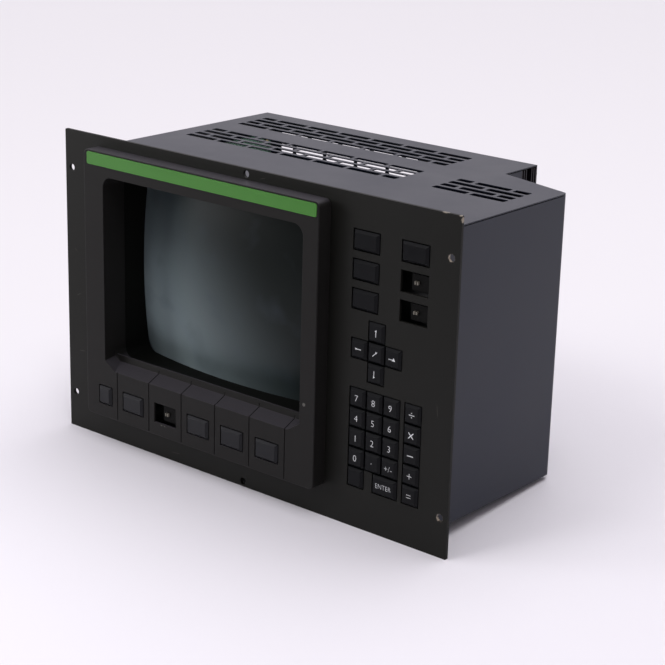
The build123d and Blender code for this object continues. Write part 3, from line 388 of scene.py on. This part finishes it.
def shellsAndInlet():
    material, tree = newMaterial("zincShellsAndBlackInlet")
    place, tint, rough = tintedBase(tree, zincLook)
    normal = grainNormal(tree, place, zincLook)
    metal = addNode(tree, "ShaderNodeBsdfPrincipled",
                    {"Base Color": tint, "Roughness": rough, "Metallic": zincLook["metallic"],
                     "Normal": normal})
    black = addNode(tree, "ShaderNodeBsdfPrincipled",
                    {"Base Color": linear(mouldingLook["colour"]),
                     "Roughness": mouldingLook["roughness"],
                     "Specular IOR Level": mouldingLook["specular"], "Normal": normal})
    parts = addNode(tree, "ShaderNodeSeparateXYZ", {"Vector": place})
    inlet = addNode(tree, "ShaderNodeMath", {0: parts.outputs["X"], 1: inletFromMm * mm},
                    operation="GREATER_THAN")
    surface = addNode(tree, "ShaderNodeMixShader", {0: inlet.outputs["Value"], 1: metal.outputs["BSDF"],
                                                    2: black.outputs["BSDF"]})
    addNode(tree, "ShaderNodeOutputMaterial", {"Surface": surface.outputs["Shader"]})
    return material


# Yoke: varnished copper wire wound over a ferrite ring, so the surface is ribbed round the axis.
yokeLook = {"copper": "#7c3f1e", "shade": "#4c2613", "ribs": 110.0, "roughness": 0.35, "metallic": 0.6,
            "ribMm": 0.25, "ribStrength": 0.8}


def woundCopper():
    look = yokeLook
    material, tree = newMaterial("varnishedCopperWire")
    low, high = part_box("deflection_yoke")
    middle = (low + high) / 2
    place = addNode(tree, "ShaderNodeTexCoord").outputs["Object"]
    offset = addNode(tree, "ShaderNodeVectorMath", {0: place, 1: middle}, operation="SUBTRACT")
    parts = addNode(tree, "ShaderNodeSeparateXYZ", {"Vector": offset.outputs["Vector"]})
    angle = addNode(tree, "ShaderNodeMath", {0: parts.outputs["X"], 1: parts.outputs["Z"]},
                    operation="ARCTAN2")
    turns = addNode(tree, "ShaderNodeMath", {0: angle.outputs["Value"], 1: look["ribs"]},
                    operation="MULTIPLY")
    wave = addNode(tree, "ShaderNodeMath", {0: turns.outputs["Value"]}, operation="SINE")
    rib = ramp(tree, wave.outputs["Value"], -1.0, 1.0)
    bump = addNode(tree, "ShaderNodeBump", {"Height": rib, "Distance": look["ribMm"] * mm,
                                            "Strength": look["ribStrength"]})
    # The colour follows the ribs: darker in the grooves between the turns, painted shade
    shader = addNode(tree, "ShaderNodeBsdfPrincipled",
                     {"Base Color": hexMix(tree, rib, look["shade"], look["copper"]),
                      "Roughness": look["roughness"], "Metallic": look["metallic"],
                      "Normal": bump.outputs["Normal"]})
    addNode(tree, "ShaderNodeOutputMaterial", {"Surface": shader.outputs["BSDF"]})
    return material


# Finishes of the frame's nodes

enamel = structuredEnamel()
bezelAbs = grainedAbs()
glass = coatedGlass()
casePaint = coated("blueGreyEnamel", caseLook)
greenFilm = coated("printedPolycarbonateFilm", stripLook)
capAbs = coated("fingerPolishedAbs", capLook)
padAbs = coated("dullBlackAbs", padLook)
acetal = coated("ivoryAcetal", plungerLook)
switchBody = coated("blackPolyester", switchLook)
maskRubber = coated("nitrileRubber", maskLook)
zinc = coated("zincPlatedSteel", zincLook)
brass = coated("nickelPlatedBrass", brassLook)
anodised = coated("blackAnodisedAluminium", sinkLook)
moulding = coated("blackMouldingCompound", mouldingLook)
ink = coated("whiteInk", inkLook)
copper = woundCopper()
connectors = shellsAndInlet()
# Just past a board's thickness from its near face, and a height that no part reaches
pastBoard = 1.7 * mm
noParts = 1.0
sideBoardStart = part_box("deflection_board")[0].x + pastBoard
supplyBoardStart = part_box("power_supply")[0].z + pastBoard
sideLaminate = solderMask("greenSideBoard", boardLook, "X", sideBoardStart)
supplyLaminate = solderMask("greenSupplyBoard", boardLook, "Z", supplyBoardStart)
neckLaminate = solderMask("greenNeckBoard", boardLook, "Z", noParts)
shadeBlackKeyLaminate = solderMask("shadeBlackKeyBoard", shadeBlackBoardLook, "Z", noParts)

nodeFinish = {
    "front_plate": enamel, "screen_bezel": bezelAbs, "label_strip": greenFilm, "picture_tube": glass,
    "screen_mask": maskRubber, "tension_band": zinc, "tube_posts": zinc, "deflection_yoke": copper,
    "neck_board": neckLaminate, "deflection_board": sideLaminate, "line_transformer": moulding,
    "power_supply": supplyLaminate, "softkey_board": shadeBlackKeyLaminate, "keypad_board": shadeBlackKeyLaminate,
    "board_standoffs": brass, "top_cover": casePaint, "left_side_panel": casePaint,
    "right_side_panel": casePaint, "rear_panel": casePaint, "bottom_panel": casePaint,
    "heat_sink": anodised, "case_screws": zinc, "rear_connectors": connectors, "key_switches": switchBody}
bareKeys = ("softkey_3", "function_key_4", "function_key_6")

for node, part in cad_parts.items():
    keyFinish = capAbs if node.startswith("softkey") else padAbs
    finish = nodeFinish.get(node, acetal if node in bareKeys else keyFinish)
    part.data.materials.clear()
    part.data.materials.append(finish)
print("finishes given to", len(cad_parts), "nodes")


# Legends: white figures and signs, and arrows on the cursor cross

legendLook = {
    "heightMm": 6.4, "pairHeightMm": 5.8, "wordHeightMm": 4.9, "capShare": 0.73, "wordWidthShare": 0.9,
    # Below zero the strokes get thinner
    "boldMm": -0.13, "signBoldMm": -0.22, "curveSteps": 4, "thickMm": 0.08, "proudMm": 0.03,
    # An arrow's bar and head. The head is a touch thinner, so that their faces don't fall together.
    "barMm": 0.7, "barLengthMm": 5.6, "headThickShare": 0.98,
    "texts": {"key_0": "0", "key_1": "1", "key_2": "2", "key_3": "3", "key_4": "4", "key_5": "5",
              "key_6": "6", "key_7": "7", "key_8": "8", "key_9": "9", "key_point": ".",
              "key_sign": "+/-"},
    # Signs and their heights
    "signs": {"key_divide": ("÷", 10.0), "key_multiply": ("×", 11.4), "key_minus": ("\u2212", 10.8),
              "key_plus": ("+", 8.8), "key_equals": ("=", 8.2)},
    "words": {"enter_key": "ENTER"},
    # Each cursor key's arrow: its turn, clockwise from straight up, and its head's size
    "arrows": {"cursor_up": (0.0, 1.3), "cursor_right": (90.0, 2.1), "cursor_down": (180.0, 1.3),
               "cursor_left": (270.0, 1.3), "cursor_centre": (45.0, 1.3)}}


def layOnCap(mesh, node):
    # Lays a mesh drawn in X and Y flat on the front of a cap, in the middle, where it rides along
    low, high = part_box(node)
    xs = [v.co.x for v in mesh.vertices]
    ys = [v.co.y for v in mesh.vertices]
    centre = Vector(((min(xs) + max(xs)) / 2, (min(ys) + max(ys)) / 2, 0))
    front = low.y + (legendLook["thickMm"] / 2 - legendLook["proudMm"]) * mm
    target = Vector(((low.x + high.x) / 2, front, (low.z + high.z) / 2))
    mesh.transform(Matrix.Translation(target) @ Matrix.Rotation(math.pi / 2, 4, "X")
                   @ Matrix.Translation(-centre))
    mesh.materials.clear()
    mesh.materials.append(ink)
    piece = bpy.data.objects.new("legend_" + node, mesh)
    bpy.context.scene.collection.objects.link(piece)
    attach(piece, node)


def makeTextLegend(node, text, heightMm, boldMm, widthShare=1.0):
    curve = bpy.data.curves.new("legendCurve", "FONT")
    curve.body = text
    curve.size = heightMm * mm / legendLook["capShare"]
    curve.extrude = legendLook["thickMm"] * mm / 2
    curve.offset = boldMm * mm
    curve.resolution_u = legendLook["curveSteps"]
    drawn = bpy.data.objects.new("legendCurve", curve)
    bpy.context.scene.collection.objects.link(drawn)
    bpy.context.view_layer.update()
    mesh = bpy.data.meshes.new_from_object(drawn.evaluated_get(bpy.context.evaluated_depsgraph_get()))
    bpy.data.objects.remove(drawn)
    mesh.name = "legend_" + node
    mesh.transform(Matrix.Diagonal((widthShare, 1, 1, 1)))
    layOnCap(mesh, node)


def makeArrowLegend(node, turn, headMm):
    look = legendLook
    shape = bmesh.new()
    size = Matrix.Diagonal((look["barMm"] * mm, look["barLengthMm"] * mm, look["thickMm"] * mm, 1))
    bmesh.ops.create_cube(shape, size=1, matrix=size)
    tip = look["barLengthMm"] / 2 * mm
    head = Matrix.Translation((0, tip, 0)) @ Matrix.Rotation(math.pi / 2, 4, "Z")
    bmesh.ops.create_cone(shape, cap_ends=True, segments=3, radius1=headMm * mm, radius2=headMm * mm,
                          depth=look["thickMm"] * mm * look["headThickShare"], matrix=head)
    bmesh.ops.rotate(shape, verts=shape.verts, matrix=Matrix.Rotation(-math.radians(turn), 3, "Z"))
    mesh = bpy.data.meshes.new("legend_" + node)
    shape.to_mesh(mesh)
    shape.free()
    layOnCap(mesh, node)


for node, text in legendLook["texts"].items():
    height = legendLook["heightMm"] if len(text) == 1 else legendLook["pairHeightMm"]
    makeTextLegend(node, text, height, legendLook["boldMm"])
for node, (text, height) in legendLook["signs"].items():
    makeTextLegend(node, text, height, legendLook["signBoldMm"])
for node, text in legendLook["words"].items():
    makeTextLegend(node, text, legendLook["wordHeightMm"], legendLook["boldMm"],
                   legendLook["wordWidthShare"])
for node, (turn, headMm) in legendLook["arrows"].items():
    makeArrowLegend(node, turn, headMm)
print("legends printed")


# Stage: a pale sweep that the object stands on, leaning on the plate's lower edge and the case's
# rear edge, soft lamps and the camera.

stageLook = {
    "floor": "#e8e5eb", "floorRoughness": 0.6, "floorSpecular": 0.2,
    "backRun": 2.2, "frontRun": 0.85, "sideRun": 3.0, "sweepRadius": 0.6, "sweepSteps": 16, "wall": 2.0,
    "world": "#f6f1f8", "worldStrength": 0.85,
    # Far from the front of the object the paper shows more and more of its own colour to the eye
    "seenFloor": "#f8f3fa", "seenShare": 0.8, "seenFrom": 0.34, "seenFull": 0.75,
    "seenMiddle": (0.15, -0.05, -0.155),
    # Towards the front the room is dark, as behind a photographer
    "frontStrength": 0.1, "darkFrom": -0.9, "lightFrom": -0.5,
    # Its light comes from above more than from its walls
    "lowStrength": 0.1, "lowFrom": 0.1, "highFrom": 0.75,
    "lamps": {"topLamp": {"place": (0.25, 0.5, 1.8), "size": (1.6, 1.4), "power": 17.5},
              "upperLamp": {"place": (-0.3, -1.0, 1.7), "size": (0.5, 0.5), "power": 7.5},
              "frontLamp": {"place": (-0.65, -1.5, 0.9), "size": (0.35, 0.35), "power": 0.6},
              "rightLamp": {"place": (1.1, -0.8, 2.0), "size": (0.4, 0.4), "power": 5.5},
              "leftLamp": {"place": (-1.3, -1.0, 0.45), "size": (0.6, 0.6), "power": 9.0}}}

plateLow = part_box("front_plate")[0]
bottomLow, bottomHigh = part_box("bottom_panel")
lean = math.atan2(bottomLow.z - plateLow.z, bottomHigh.y)


def seenDirectly(tree, kinds):
    # 1 for the rays of these kinds, which show the backdrop to the eye, 0 for those that carry its light
    path = addNode(tree, "ShaderNodeLightPath")
    total = path.outputs[kinds[0]]
    for kind in kinds[1:]:
        total = addNode(tree, "ShaderNodeMath", {0: total, 1: path.outputs[kind]},
                        operation="MAXIMUM").outputs["Value"]
    return total


def makeStage():
    look = stageLook
    shape = bmesh.new()
    half = look["sideRun"]
    start = shape.verts.new((-half, -look["frontRun"], 0))
    end = shape.verts.new((half, -look["frontRun"], 0))
    edge = shape.edges.new((start, end))
    made = bmesh.ops.extrude_edge_only(shape, edges=[edge])["geom"]
    row = [v for v in made if isinstance(v, bmesh.types.BMVert)]
    bmesh.ops.translate(shape, verts=row, vec=(0, look["frontRun"] + look["backRun"], 0))
    rim = [e for e in made if isinstance(e, bmesh.types.BMEdge) and all(v in row for v in e.verts)]
    bent = bmesh.ops.spin(shape, geom=row + rim, cent=(0, look["backRun"], look["sweepRadius"]),
                          axis=(1, 0, 0), angle=math.pi / 2, steps=look["sweepSteps"])["geom_last"]
    top = [e for e in bent if isinstance(e, bmesh.types.BMEdge)]
    made = bmesh.ops.extrude_edge_only(shape, edges=top)["geom"]
    bmesh.ops.translate(shape, verts=[v for v in made if isinstance(v, bmesh.types.BMVert)],
                        vec=(0, 0, look["wall"]))
    bmesh.ops.recalc_face_normals(shape, faces=shape.faces)
    bmesh.ops.rotate(shape, verts=shape.verts, matrix=Matrix.Rotation(lean, 3, "X"))
    bmesh.ops.translate(shape, verts=shape.verts, vec=(0, 0, plateLow.z))
    mesh = bpy.data.meshes.new("paleSweep")
    shape.to_mesh(mesh)
    shape.free()
    mesh.polygons.foreach_set("use_smooth", [True] * len(mesh.polygons))
    material, tree = newMaterial("paleSweepPaper")
    paper = addNode(tree, "ShaderNodeBsdfPrincipled",
                    {"Base Color": linear(look["floor"]), "Roughness": look["floorRoughness"],
                     "Specular IOR Level": look["floorSpecular"]})
    place = addNode(tree, "ShaderNodeTexCoord").outputs["Object"]
    away = addNode(tree, "ShaderNodeVectorMath", {0: place, 1: look["seenMiddle"]},
                   operation="SUBTRACT")
    reach = addNode(tree, "ShaderNodeVectorMath", {0: away.outputs["Vector"]}, operation="LENGTH")
    far = ramp(tree, reach.outputs["Value"], look["seenFrom"], look["seenFull"], 0.0,
               look["seenShare"], interpolation_type="SMOOTHSTEP")
    own = addNode(tree, "ShaderNodeEmission", {"Color": linear(look["seenFloor"]), "Strength": 1.0})
    seen = seenDirectly(tree, ("Is Camera Ray", "Is Glossy Ray", "Is Transmission Ray"))
    share = addNode(tree, "ShaderNodeMath", {0: seen, 1: far}, operation="MULTIPLY")
    surface = addNode(tree, "ShaderNodeMixShader", {0: share.outputs["Value"], 1: paper.outputs["BSDF"],
                                                    2: own.outputs["Emission"]})
    addNode(tree, "ShaderNodeOutputMaterial", {"Surface": surface.outputs["Shader"]})
    mesh.materials.append(material)
    sweep = bpy.data.objects.new("paleSweep", mesh)
    bpy.context.scene.collection.objects.link(sweep)


def makeLamp(name, lamp):
    light = bpy.data.lights.new(name, "AREA")
    light.shape = "RECTANGLE"
    light.size, light.size_y = lamp["size"]
    light.energy = lamp["power"]
    holder = bpy.data.objects.new(name, light)
    holder.location = lamp["place"]
    holder.rotation_euler = (-Vector(lamp["place"])).to_track_quat("-Z", "Y").to_euler()
    bpy.context.scene.collection.objects.link(holder)


def makeWorld():
    world = bpy.data.worlds.new("paleStudio")
    bpy.context.scene.world = world
    world.use_nodes = True
    tree = world.node_tree
    tree.nodes.clear()
    look = stageLook
    sky = addNode(tree, "ShaderNodeTexCoord").outputs["Generated"]
    parts = addNode(tree, "ShaderNodeSeparateXYZ", {"Vector": sky})
    room = ramp(tree, parts.outputs["Y"], look["darkFrom"], look["lightFrom"], look["frontStrength"],
                1.0, interpolation_type="SMOOTHSTEP")
    height = ramp(tree, parts.outputs["Z"], look["lowFrom"], look["highFrom"],
                  look["lowStrength"] * look["worldStrength"], look["worldStrength"])
    lighting = addNode(tree, "ShaderNodeMath", {0: room, 1: height}, operation="MULTIPLY")
    # A glossy surface shows the room as bright as the eye sees it, with its dark front
    shown = addNode(tree, "ShaderNodeMix",
                    {"Factor": seenDirectly(tree, ("Is Glossy Ray",)), "A": lighting.outputs["Value"],
                     "B": room}, data_type="FLOAT")
    strength = addNode(tree, "ShaderNodeMix",
                       {"Factor": seenDirectly(tree, ("Is Camera Ray", "Is Transmission Ray")),
                        "A": shown.outputs["Result"], "B": 1.0}, data_type="FLOAT")
    glow = addNode(tree, "ShaderNodeBackground", {"Color": linear(look["world"]),
                                                  "Strength": strength.outputs["Result"]})
    addNode(tree, "ShaderNodeOutputWorld", {"Surface": glow.outputs["Background"]})


# The camera stands to the right of the panel, a little above it
cameraLook = {
    "place": (1.0926, -1.1918, 0.5280), "forward": (-0.6062, 0.7324, -0.3100),
    "down": (0.2180, -0.2219, -0.9504), "lensMm": 99.03, "sensorMm": 36.0,
    "nearest": 0.05, "farthest": 50.0}


def makeCamera():
    look = cameraLook
    camera = bpy.data.cameras.new("photoCamera")
    camera.lens = look["lensMm"]
    camera.sensor_width = look["sensorMm"]
    camera.sensor_fit = "HORIZONTAL"
    camera.clip_start = look["nearest"]
    camera.clip_end = look["farthest"]
    back = -Vector(look["forward"]).normalized()
    right = (-Vector(look["down"])).cross(back).normalized()
    up = back.cross(right)
    holder = bpy.data.objects.new("photoCamera", camera)
    turned = Matrix((right, up, back)).transposed().to_4x4()
    holder.matrix_world = Matrix.Translation(look["place"]) @ turned
    bpy.context.scene.collection.objects.link(holder)
    bpy.context.scene.camera = holder


makeStage()
for name, lamp in stageLook["lamps"].items():
    makeLamp(name, lamp)
makeWorld()
makeCamera()
bpy.context.scene.view_settings.view_transform = "Standard"
print("stage, lamps and camera set")
